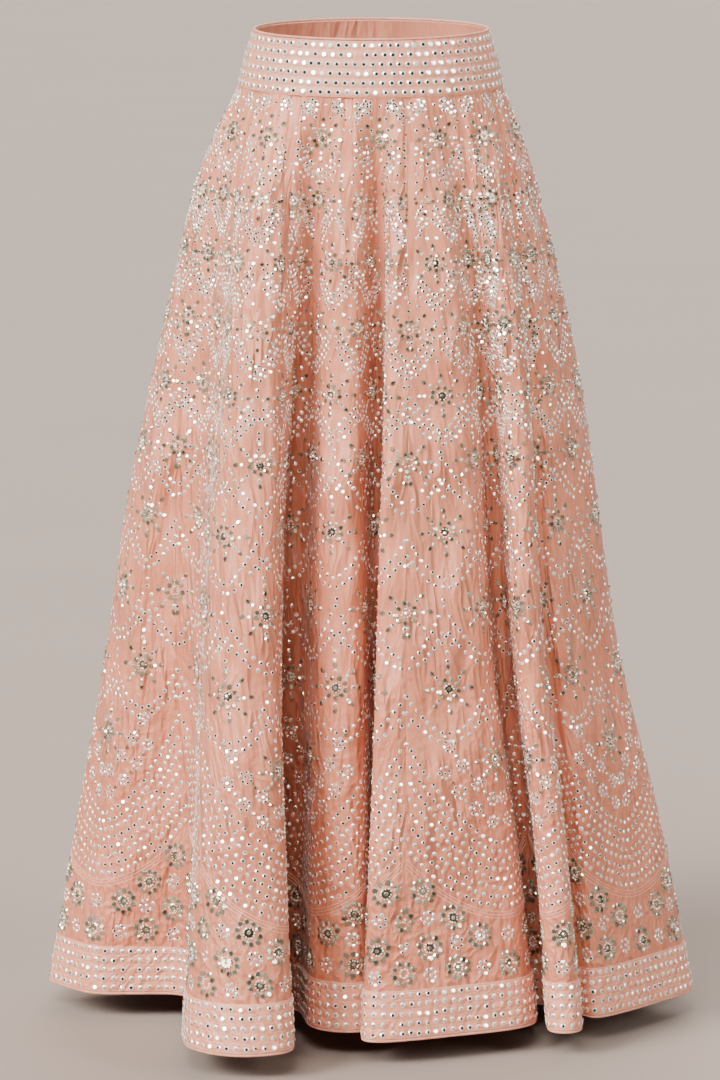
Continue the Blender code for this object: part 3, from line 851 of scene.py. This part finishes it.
def silk_look(name, colour, dye_and_shade, puckers, settings):
    """Slubbed silk with a soft sheen. puckers says how strongly the embroidery gathers it."""
    look = Look(name)
    cut = look.add("UVMap", {"uv_map": "cloth"})
    across, down = (look.add("SeparateXYZ", {}, {0: cut}, output) for output in (0, 1))

    def pattern(kind, wander=None, crossed=False):
        """A noise over the cut, which wander bends along one diagonal or, if crossed, the other."""
        often_across, often_down, detail = PATTERNS[kind]
        x, y = across * often_across, down * often_down
        if wander:
            x, y = x + wander, y - wander if crossed else y + wander
        return look.noise(look.vector(x, y), 1.0, detail)

    slubs = pattern("slubs")
    wander = pattern("wander") * 0.9
    patches = pattern("patches").within(0.34, 0.58)
    lower = 1 - down.within(0.62, 0.90) * 0.55
    gathered = ridged(pattern("fine", wander)) * 0.42 + pattern("broad", wander, True)
    gathered = gathered * (patches * 0.7 + 0.3) * lower * (puckers * settings.pucker_depth)
    crinkle = ridged(pattern("crinkle", wander, True))
    gathered = gathered + crinkle * (down.within(0.50, 0.85) * 0.22 + 0.03) * settings.pucker_depth
    grain = slubs * settings.slub_depth + pattern("threads") * (settings.slub_depth * 0.5)
    dye_and_hem_shade = pattern("clouds").within(0.3, 0.7) * 0.55 + slubs.within(0.35, 0.7) * 0.22
    dye_and_hem_shade = dye_and_hem_shade + pattern("streaks").within(0.35, 0.7) * 0.22
    # Painted shade: the silk is kept lighter near the band and darkens towards the deep colour down to the
    # hem.
    dye_and_hem_shade = dye_and_hem_shade * (down.within(0.0, 0.50) * 0.65 + 0.35) + down.within(0.50, 0.95) * 0.30
    cloth = look.colours(dye_and_hem_shade, colour, dye_and_shade)
    return look.principled(
        # Painted shade: the silk is darkened towards the valley colour where it lies deep in a fold or
        # crease.
        Base_Color=look.colours(look.stored("hollow") * 0.75, cloth, tuple(settings.valley)),
        Roughness=slubs * 0.16 + 0.42,
        Normal=look.bump(gathered + grain),
        Specular_IOR_Level=0.5,
        Sheen_Weight=0.12,
        Sheen_Roughness=0.38,
        Sheen_Tint=(1.0, 0.86, 0.80, 1.0),
    )


def thread_look(name, colour, settings):
    """Twisted thread or a rolled silk edge."""
    look = Look(name)
    place = look.place()
    uneven = look.noise(place, 90.0, 3.0)
    twist = look.noise(place, 900.0, 1.0)
    return look.principled(
        Base_Color=look.colours(uneven.within(0.3, 0.7) * 0.5, colour, settings.silk_dye_and_shade),
        Roughness=twist * 0.2 + 0.4,
        Normal=look.bump(twist * 0.00025),
        Sheen_Weight=0.3,
        Sheen_Roughness=0.4,
    )


def foil_look(name, colour, dull, roughness, metallic, settings):
    """Foil-backed glass in a pearly rim. The mesh keeps each one's shade and, 1 on the rim, its rim."""
    look = Look(name)
    shade, rim = look.stored("shade"), look.stored("rim")
    smears = look.noise(look.place(), 260.0)
    glass = look.colours(shade * 0.8 + smears * 0.2, colour, dull)
    return look.principled(
        Base_Color=look.colours(rim, glass, settings.rim),
        Roughness=(smears * roughness + roughness * 0.5) + rim * 0.20,
        Metallic=metallic - rim * (metallic - 0.45),
        Specular_IOR_Level=0.8,
    )


class Chart:
    """The mirror work of one kali laid flat: distances across from its middle, and drops."""

    def __init__(self, trims):
        self.trims = trims
        self.items = {kind: [] for kind in TRIMS}
        self.lines = []

    def put(self, kind, across, drop, width, turn=0.0):
        """One mirror, stone or bead, with its tip turned to an angle from the across way towards the hem."""
        half = flat_width(drop) / 2 - (width / 2 if kind == "painted_shade_disc" else 0)
        if -half <= across < half - SEAM_MARGIN and END_MARGIN < drop < BORDER_TOP - END_MARGIN:
            self.items[kind].append((across, drop, width, turn))

    def fill(self):
        """Single mirrors in the bare cloth near the band, fewer further down."""
        laid = np.concatenate([np.array(rows)[:, :3] for rows in self.items.values()])
        pitch = self.trims.pitch
        for drop in np.arange(FILL_TOP, FILL_BOTTOM, pitch * 0.5):
            clear = pitch * (FILL_CLEAR[0] + FILL_CLEAR[1] * (drop / FILL_BOTTOM) ** 2)
            for across in np.arange(-0.5, 0.5, pitch * 0.5 / flat_width(drop)) * flat_width(drop):
                away = np.hypot(laid[:, 0] - across, laid[:, 1] - drop) - laid[:, 2] / 2
                if away.min() > clear:
                    self.put("mirror", across, drop, self.trims.mirror * FILL_WIDTH)
                    laid = np.vstack((laid, (across, drop, self.trims.mirror)))

    def ring(self, kind, across, drop, radius, count, width, start=0.0):
        for turn in start + 2 * pi * np.arange(count) / count:
            self.put(kind, across + radius * np.cos(turn), drop + radius * np.sin(turn), width, turn)

    def starburst(self, across, drop, size):
        """A stone in a ring of beads and petals, with rays of a mirror and a drop."""
        wide = 0.45 + 0.55 * size
        self.put("stone", across, drop, 0.0050 * wide)
        # A dark disc under the beads: painted shade between them.
        self.put("painted_shade_disc", across, drop, 0.0112 * wide)
        self.ring("bead", across, drop, 0.0045 * wide, 9, 0.0025)
        self.ring("petal", across, drop, 0.0102 * size, 9, 0.0072 * wide, pi / 2)
        self.ring("mirror", across, drop, 0.0170 * size, 8, 0.0050 * wide, pi / 2)
        self.ring("drop", across, drop, 0.0238 * size, 8, 0.0076 * wide, pi / 2)

    def rosette(self, across, drop):
        """A full flower: a stone in a ring of beads and a close ring of petals."""
        self.put("stone", across, drop, 0.0052)
        # A dark disc under the beads: painted shade between them.
        self.put("painted_shade_disc", across, drop, 0.0128)
        self.ring("bead", across, drop, 0.0051, 11, 0.0027)
        self.ring("petal", across, drop, 0.0112, 10, 0.0080, 0.3)

    def posy(self, across, drop, size=1.0):
        """Seven mirrors round one."""
        self.put("mirror", across, drop, 0.0048 * size)
        self.ring("mirror", across, drop, 0.0062 * size, 7, 0.0050 * size, 0.5)

    def scallop(self, middle, bottom, half, height, point, offset, first, width, pitch):
        """Mirrors along a scallop, offset down from its line, first pitches from its bottom and on."""
        t = np.linspace(0, 1, SCALLOP_STEPS)
        across, drop = offset_down(t * half, bottom - height * t ** point, offset)
        keep = across <= half - pitch * 0.25
        for x, y in spaced(across[keep], drop[keep], first * pitch, pitch):
            for side in both_sides(x):
                self.put("mirror", middle + side * x, y, width)

    def net(self):
        """Starbursts and scallops from the band down to the fan."""
        for row, below in zip(NET, [row.drop for row in NET[1:]] + [LAST_STARBURST_DROP]):
            step = below - row.drop
            bottom, height = row.drop + SCALLOP_BOTTOM * step, SCALLOP_HEIGHT * step
            near, far = flat_width(row.drop), flat_width(bottom)
            cell = far / row.cells
            width = self.trims.mirror * (0.4 + 0.6 * row.size)
            pitch = self.trims.pitch * (2 * row.size - 0.95)
            if row.size < CLOSE_SIZE:
                gap = self.trims.row_gap * (0.7 * row.size)
                lines = (-gap, 0.0), (0.0, 0.5), (gap, 0.0)
            else:
                gap = self.trims.row_gap
                lines = (-gap / 2, 0.0), (gap / 2, 0.5)
            for number in range(-1, row.cells + 1):
                self.starburst((row.first - 0.5) * near + number * near / row.cells, row.drop, row.size)
                middle = (row.first - 0.5) * far + number * cell
                for offset, first in lines:
                    self.scallop(middle, bottom, cell / 2, height, row.point, offset, first, width, pitch)
                for over in CAP:
                    self.put("mirror", middle + cell / 2, bottom - height - over * pitch, width)
                if row.size > TAILED_SIZE:
                    for x, y in TAIL:
                        self.put("mirror", middle + cell / 2 + x * pitch, bottom - height + y * pitch, width)
        self.starburst(0.0, LAST_STARBURST_DROP, 0.9)

    def fan(self):
        """Rows of mirrors that hang from seam to seam, chains of posies above and stitched lines below."""
        t = np.linspace(0, FAN_REACH, FAN_STEPS)
        drop = FAN_MIDDLE_DROP - FAN_RISE * t ** FAN_POINT
        across = t * flat_width(drop) / 2
        for row in range(FAN_ROWS):
            line = offset_down(across, drop, row * self.trims.row_gap)
            for x, y in spaced(*line, self.trims.pitch * (row % 2) / 2, self.trims.pitch):
                for side in both_sides(x):
                    if x < flat_width(y) / 2 - self.trims.mirror * 0.55:
                        self.put("mirror", side * x, y, self.trims.mirror)
        for below in FAN_LINES:
            line = np.stack(offset_down(across, drop, (FAN_ROWS - 1) * self.trims.row_gap + below), axis=1)
            line = line[line[:, 0] < flat_width(line[:, 1]) / 2 - 0.001]
            self.lines.append(np.concatenate((line[::-1] * (-1, 1), line[1:])))
        for over, first, share in CHAINS:
            line = spaced(*offset_down(across, drop, over), first * CHAIN_PITCH, CHAIN_PITCH)
            line = [(x, y) for x, y in line if 0 <= x < share * flat_width(y) / 2]
            for number, (x, y) in enumerate(line):
                for side in both_sides(x):
                    if number % 2 == 0:
                        self.posy(side * x, y, 0.92)
                    else:
                        self.put("stone", side * x, y, 0.0052)

    def flowers(self):
        for kind, places in FLOWERS.items():
            for across, height in places:
                for side in both_sides(across):
                    getattr(self, kind)(side * across, SKIRT_DROP - height)
        for side in (-1, 1):
            self.posy(side * WAIST_CUT / 4, BAND_POSY_DROP, 0.85)


def both_sides(across):
    """Both sides of a kali's middle, or one for what lies on it."""
    return (-1, 1) if across > 1e-6 else (1,)


def offset_down(across, drop, distance):
    """A line moved squarely to its lower side."""
    run, fall = np.gradient(across), np.gradient(drop)
    length = np.hypot(run, fall)
    return across - fall / length * distance, drop + run / length * distance


def spaced(across, drop, first, pitch):
    """Points at even distances along a line."""
    run = run_along(np.stack((across, drop), axis=1))
    places = np.arange(first, run[-1], pitch)
    return list(zip(np.interp(places, run, across), np.interp(places, run, drop)))


def outline_of(trim):
    """The rim of a trim, as points along its length and across it. A tip draws one end in."""
    turn = 2 * pi * np.arange(trim.sides) / trim.sides
    along, across = np.cos(turn) / 2, np.sin(turn) / 2 * trim.narrow
    return along, across * (1 - trim.tip * (2 * along))


def sewn_on(name, face, kinds, rng, tilt):
    """Mirrors, stones or beads on a face, as one mesh. kinds maps each to places, drops, widths and turns."""
    points, tables, sides, shades, pearly, rims = [], [], [], [], [], []
    count = 0
    for kind, (place, drop, width, turn) in kinds.items():
        trim = TRIMS[kind]
        keep = rng.random(len(place)) > MISSING_SHARE
        place, drop, width, turn = place[keep], drop[keep], width[keep], turn[keep]
        round_way, down, out = axes(face.surface, place, drop)
        lean = rng.normal(0, tilt, (2, len(place), 1)) * np.minimum(1, STEADY_WIDTH / width)[:, None]
        out = unit(out + round_way * lean[0] + down * lean[1])
        round_way = round_way - out * (round_way * out).sum(axis=-1, keepdims=True)
        down = np.cross(round_way, out)
        cosine, sine = np.cos(turn)[:, None], np.sin(turn)[:, None]
        tip_way = round_way * cosine + down * sine
        side_way = round_way * sine - down * cosine
        along, across = outline_of(trim)
        centre = face.points(place, drop)
        width = (width * rng.normal(1, 0.03, len(place)))[:, None, None]
        flat = (tip_way[:, None] * along[:, None] + side_way[:, None] * across[:, None]) * width
        low = centre[:, None] + flat - out[:, None] * ROOT_DEPTH
        high = centre[:, None] + flat * trim.table + out[:, None] * trim.height
        shape = np.concatenate((low, high), axis=1)
        index = count + np.arange(len(place) * 2 * trim.sides).reshape(-1, 2, trim.sides)
        base, top = index[:, 0], index[:, 1]
        tables.append(top)
        ring = np.stack((base, np.roll(base, -1, axis=1), np.roll(top, -1, axis=1), top), axis=-1)
        sides.append(ring.reshape(-1, 4))
        points.append(shape.reshape(-1, 3))
        shades.append(np.repeat(rng.random(len(place)) ** trim.sameness, 2 * trim.sides))
        pearly.append(np.full(len(place), trim.pearly))
        rims.append(np.full(len(place) * trim.sides, trim.rim))
        count += index.size
    mesh = new_mesh(name, np.concatenate(points), *tables, *sides)
    store(mesh, "rim", "FACE", np.concatenate(pearly + rims))
    store(mesh, "shade", "POINT", np.concatenate(shades))
    mesh.shade_flat()
    slot = TRIMS[next(iter(kinds))].slot
    new_piece(mesh, f"{slot}_foil")


def stitched(node, face, lines, width, height):
    """Low ridges of thread along lines of places and drops, joined as one mesh."""
    points, faces = [], []
    count = 0
    for place, drop in lines:
        centre = face.points(place, drop)
        out = axes(face.surface, place, drop)[2]
        way = np.gradient(centre, axis=0)
        side = unit(np.cross(way, out))
        low, crest = out * -ROOT_DEPTH, out * height
        rows = np.stack((centre - side * width / 2 + low, centre + crest, centre + side * width / 2 + low))
        index = count + np.arange(rows.shape[0] * rows.shape[1]).reshape(rows.shape[:2])
        faces.append(quads(index))
        points.append(rows.reshape(-1, 3))
        count += index.size
    mesh = new_mesh(f"{node}_stitching", np.concatenate(points), np.concatenate(faces))
    mesh.shade_smooth()
    new_piece(mesh, "thread")


def row_places(first, last, cut, rows, shift=0.0, back=0.0):
    """The row and place of each mirror in straight rows from seam to seam, over kalis of one cut width."""
    count = round((last - first) * cut / ROW_PITCH)
    row, column = np.meshgrid(np.arange(rows), np.arange(count))
    place = first + (last - first) * (column + 0.5 + shift * (row % 2) - back) / count
    return row.ravel(), place.ravel()


def sew_rows(node, face, place, drop, width, rng, tilt):
    """Mirrors of one width."""
    rows = {"mirror": (place, drop, np.full(len(place), width), np.zeros(len(place)))}
    sewn_on(f"{node}_mirrors", face, rows, rng, tilt)


def rng_for(settings, number):
    return np.random.default_rng(settings.seed * 1000 + number)


def looks():
    """The finishes, made once."""
    silk, trims = bpy.context.scene.lehenga_silk, bpy.context.scene.lehenga_trims
    made = bpy.data.materials
    if "kali_silk" not in made:
        silk_look("kali_silk", silk.silk, silk.silk_dye_and_shade, 1.0, silk)
        silk_look("band_silk", silk.band, silk.silk, 0.35, silk)
        thread_look("piping_silk", silk.piping, silk)
        thread_look("thread", silk.thread, silk)
        foil_look("mirror_foil", trims.foil, DULL_MIRROR, 0.06, 1.0, trims)
        foil_look("stone_foil", trims.stone, DULL_STONE, 0.14, 0.88, trims)
    return made


class LEHENGA_OT_kalis(Operator):
    """Lays the fourteen silk panels in their folds"""

    bl_idname = "lehenga.kalis"
    bl_label = "Silk kalis"

    def execute(self, context):
        drops = np.linspace(2 * SEAM_GAP, SKIRT_DROP, PANEL_ROWS + 1)
        for kali in range(KALI_COUNT):
            places = columns_between(kali, kali + 1, PANEL_COLUMNS)
            made = cloth_wall(f"kali_{kali + 1:02d}", PANEL, 0.0, places, drops, "kali_silk")
            (WAIST_CUT + HEM_CUT) / 2 * SKIRT_DROP
        return {"FINISHED"}


class LEHENGA_OT_waistband(Operator):
    """Makes the shaped band, its rolled top edge, its mirrors and its stitched lines"""

    bl_idname = "lehenga.waistband"
    bl_label = "Waistband"

    def execute(self, context):
        trims = context.scene.lehenga_trims
        drops = np.linspace(-BAND_HEIGHT, 0, BAND_ROWS + 1)
        row_drops = -BAND_HEIGHT * (1 - (np.arange(BAND_MIRROR_ROWS) + 0.5) / BAND_MIRROR_ROWS)
        line_drops = -BAND_HEIGHT * (1 - np.arange(1, BAND_MIRROR_ROWS) / BAND_MIRROR_ROWS)
        for number, (side, (first, last)) in enumerate(HALVES.items()):
            node = f"waistband_{side}"
            places = np.linspace(first, last, (last - first) * BAND_COLUMNS + 1)
            made = cloth_wall(node, BAND, 0.0, places, drops, "band_silk")
            rng = rng_for(trims, BAND_SEED + number)
            row, place = row_places(first, last, WAIST_CUT, BAND_MIRROR_ROWS, *BAND_SHIFTS)
            place = place + rng.normal(0, BAND_UNEVENNESS, len(place))
            tilt = trims.tilt * BAND_TILT_SHARE
            sew_rows(node, BAND, place, row_drops[row], trims.band_mirror, rng, tilt)
            around = np.linspace(first + 0.01, last - 0.01, (last - first) * 14)
            wavy = [
                (around, line + BAND_WAVER * np.sin(around * 9 + 40 * line) * np.sin(around * 23))
                for line in line_drops
            ]
            stitched(node, BAND, wavy, *BAND_THREAD)
        first, last = LEFT_SIDE_SEAM + 0.003, LEFT_SIDE_SEAM + KALI_COUNT - 0.003
        around = np.linspace(first, last, KALI_COUNT * 20)
        lift = PIPING_RADIUS + 2 * SEAM_GAP
        sizes = (BAND_CLOTH / 2, lift, 1, 0.06, (31, 12.7))
        rolled_edge("waist_piping", SKIRT.band_points, around, -BAND_HEIGHT, *sizes)
        return {"FINISHED"}


class LEHENGA_OT_hem(Operator):
    """Makes the border, its rows of mirrors and stitched lines, and the rolled edge under it"""

    bl_idname = "lehenga.hem"
    bl_label = "Hem border"

    def execute(self, context):
        trims = context.scene.lehenga_trims
        drops = np.linspace(BORDER_TOP, SKIRT_DROP, BORDER_ROWS + 1)
        row_gap = HEM_BORDER_HEIGHT / HEM_MIRROR_ROWS
        row_drops = BORDER_TOP + (np.arange(HEM_MIRROR_ROWS) + 0.5) * row_gap
        between = [BORDER_TOP + row * row_gap for row in range(1, HEM_MIRROR_ROWS)]
        line_drops = (*HEM_EDGE_LINES[:2], *between, HEM_EDGE_LINES[2])
        for number, (side, (first, last)) in enumerate(HALVES.items()):
            node = f"hem_border_{side}"
            kalis = range(first, last)
            places = np.concatenate([columns_between(k, k + 1, BORDER_COLUMNS) for k in kalis])
            places = np.unique(places.round(9))
            made = cloth_wall(node, BORDER, KALI_CLOTH + SEAM_GAP, places, drops, "band_silk")
            length = (last - first) * HEM_CUT
            rng = rng_for(trims, HEM_SEED + number)
            row, place = row_places(first, last, HEM_CUT, HEM_MIRROR_ROWS)
            place = place + rng.normal(0, HEM_UNEVENNESS[0], len(place))
            drop = row_drops[row] + rng.normal(0, HEM_UNEVENNESS[1], len(place))
            sew_rows(node, BORDER, place, drop, trims.hem_mirror, rng, trims.tilt)
            around = np.linspace(first + 0.004, last - 0.004, (last - first) * 80)
            waves = HEM_WAVER * np.sin(around * 2 * pi / HEM_WAVER_LENGTH) * (1 + 0.4 * np.sin(around * 7))
            wavy = [(around, line + waves * (line in between)) for line in line_drops]
            stitched(node, BORDER, wavy, *HEM_THREAD)
            around = places[(places >= first + 0.001) & (places <= last - 0.001)]
            middle = (KALI_CLOTH + SEAM_GAP + BORDER_CLOTH) / 2
            sizes = (middle, -PIPING_RADIUS - SEAM_GAP, 1.14, 0.05, (61, 22.7))
            rolled_edge(f"hem_piping_{side}", SKIRT.points, around, SKIRT_DROP, *sizes)
        return {"FINISHED"}


class LEHENGA_OT_mirror_work(Operator):
    """Sews the net of starbursts, the fans and the flowers to every kali"""

    bl_idname = "lehenga.mirror_work"
    bl_label = "Mirror work"

    def execute(self, context):
        trims = context.scene.lehenga_trims
        chart = Chart(trims)
        chart.net()
        chart.fan()
        chart.flowers()
        chart.fill()
        items = {kind: np.array(rows) for kind, rows in chart.items.items()}
        for kali in range(KALI_COUNT):
            rng = rng_for(trims, kali)
            laid = {}
            for kind, rows in items.items():
                across, drop, width, turn = rows.T
                drop = drop + rng.normal(0, CHART_UNEVENNESS, len(drop))
                across = across + rng.normal(0, CHART_UNEVENNESS, len(drop))
                laid[kind] = (kali + 0.5 + across / flat_width(drop), drop, width, turn)
            node = f"kali_{kali + 1:02d}"
            mirrors = {"mirror": laid.pop("mirror")}
            sewn_on(f"{node}_mirrors", PANEL, mirrors, rng, trims.tilt)
            sewn_on(f"{node}_stones", PANEL, laid, rng, trims.tilt)
            lines = []
            for line in chart.lines:
                across, drop = np.array(spaced(*line.T, 0.0, FAN_STITCH)).T
                lines.append((kali + 0.5 + across / flat_width(drop), drop))
            stitched(node, PANEL, lines, *FAN_THREAD)
        return {"FINISHED"}


class LEHENGA_OT_studio(Operator):
    """Adds the floor, the soft lights and the camera"""

    bl_idname = "lehenga.studio"
    bl_label = "Studio"

    def execute(self, context):
        settings = context.scene.lehenga_studio
        height = -BAND_HEIGHT - SKIRT_DROP - settings.floor_gap
        bpy.ops.mesh.primitive_plane_add(size=FLOOR_SIZE, location=(0, 0, height))
        floor = context.object
        floor.name = "studio_floor"
        look = Look("studio_floor")
        mottled = look.noise(look.place(), 1.3, 3.0).within(0.3, 0.7)
        darker = tuple(0.965 * channel for channel in settings.floor)
        base = look.colours(mottled, settings.floor, darker)
        floor.data.materials.append(look.principled(Base_Color=base, Roughness=0.75, Specular_IOR_Level=0.2))
        floor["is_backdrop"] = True
        self.lights(context.scene, settings)
        self.camera(context.scene)
        return {"FINISHED"}

    def lights(self, scene, settings):
        lamp = bpy.data.lights.new("key", "SUN")
        lamp.energy, lamp.angle, lamp.color = settings.key, radians(KEY_SPREAD), KEY_COLOUR
        made = bpy.data.objects.new("key", lamp)
        made.rotation_euler = [radians(angle) for angle in KEY_TURN]
        scene.collection.objects.link(made)
        world = bpy.data.worlds.new("studio")
        world.use_nodes = True
        scene.world = world
        look = Look("", world.node_tree)
        way = look.place("Generated")
        back = look.add("SeparateXYZ", {}, {0: way}, 1)
        glow = back.within(-0.25, 0.35) * settings.backdrop
        for box in SOFT_BOXES:
            azimuth, elevation = radians(box.azimuth), radians(box.elevation)
            level = np.cos(elevation)
            centre = (level * np.sin(azimuth), -level * np.cos(azimuth), np.sin(elevation))
            dot = {"operation": "DOT_PRODUCT"}
            towards = look.add("VectorMath", dot, {0: way, 1: centre}, "Value")
            glow = towards.within(box.outer, box.inner) * getattr(settings, box.setting) + glow
        background = world.node_tree.nodes["Background"]
        look.fill(background, {"Color": STUDIO_COLOUR, "Strength": glow + settings.ambient})

    def camera(self, scene):
        lens = bpy.data.cameras.new("camera")
        lens.lens, lens.sensor_width, lens.shift_x = CAMERA_LENS, CAMERA_SENSOR, CAMERA_SHIFT
        made = bpy.data.objects.new("camera", lens)
        made.location = CAMERA_PLACE
        made.rotation_euler = (radians(CAMERA_PITCH), 0, 0)
        scene.collection.objects.link(made)
        scene.camera = made


class LEHENGA_PT_panel(Panel):
    bl_label = "Lehenga skirt"
    bl_space_type = "VIEW_3D"
    bl_region_type = "UI"
    bl_category = "Lehenga"

    def draw(self, context):
        for group in SETTINGS:
            settings = getattr(context.scene, group)
            for name in settings.__annotations__:
                self.layout.prop(settings, name)
        for operator in OPERATORS:
            self.layout.operator(operator.bl_idname)


OPERATORS = (
    LEHENGA_OT_kalis,
    LEHENGA_OT_waistband,
    LEHENGA_OT_hem,
    LEHENGA_OT_mirror_work,
    LEHENGA_OT_studio,
)
SETTINGS = {"lehenga_silk": SilkSettings, "lehenga_trims": TrimSettings, "lehenga_studio": StudioSettings}


def register():
    for made in (*SETTINGS.values(), *OPERATORS, LEHENGA_PT_panel):
        bpy.utils.register_class(made)
    for name, group in SETTINGS.items():
        setattr(bpy.types.Scene, name, PointerProperty(type=group))


def unregister():
    for name in SETTINGS:
        delattr(bpy.types.Scene, name)
    for made in (LEHENGA_PT_panel, *OPERATORS, *SETTINGS.values()):
        bpy.utils.unregister_class(made)


def main():
    register()
    for leftover in ("Cube", "Light", "Camera"):
        if leftover in bpy.data.objects:
            bpy.data.objects.remove(bpy.data.objects[leftover])
    bpy.ops.lehenga.kalis()
    bpy.ops.lehenga.waistband()
    bpy.ops.lehenga.hem()
    bpy.ops.lehenga.mirror_work()
    bpy.ops.lehenga.studio()
    boxes = {"cad": CAD_BOX, "visual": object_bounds()}
    {name: [list(corner) for corner in box] for name, box in boxes.items()}


if __name__ == "__main__":
    main()
